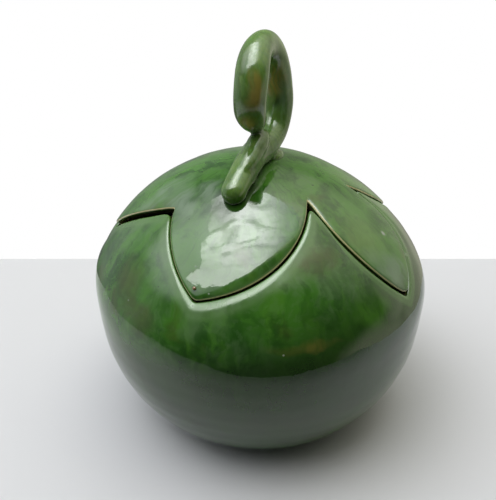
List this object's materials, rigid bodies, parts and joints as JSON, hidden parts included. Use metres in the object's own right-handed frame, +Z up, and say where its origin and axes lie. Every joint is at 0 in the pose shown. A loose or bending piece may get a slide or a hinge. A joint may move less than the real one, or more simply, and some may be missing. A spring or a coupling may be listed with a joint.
{
  "type": "lidded ceramic pot",
  "caption": "Round footed earthenware pot in glossy green glaze, with a lid cut from its dome as a star of leaf lobes and a curled clay stem as the handle.",
  "frame": {"origin": "middle of the foot, in the plane that the pot stands on", "axes": "+Z up, -Y the front that the picture shows, +X to the right as seen from the front"},
  "size_m": [0.1798, 0.18, 0.2119],
  "materials": {
    "pot_glaze": "glossy transparent copper-green glaze, mottled darker and browner where it pooled",
    "lid_glaze": "glossy transparent copper-green glaze, thin and tan along the cut edge",
    "stem_glaze": "glossy transparent copper-green glaze with amber patches"
  },
  "bodies": {
    "pot": {"pot_body": "pot_glaze"},
    "lid": {"calyx_lid": "lid_glaze", "stem_handle": "stem_glaze"}
  },
  "joints": [
    {"name": "lid_lift", "type": "slide", "parent": "pot", "child": "lid", "axis": [0, 0, 1], "range_m": [0, 0.1]}
  ]
}
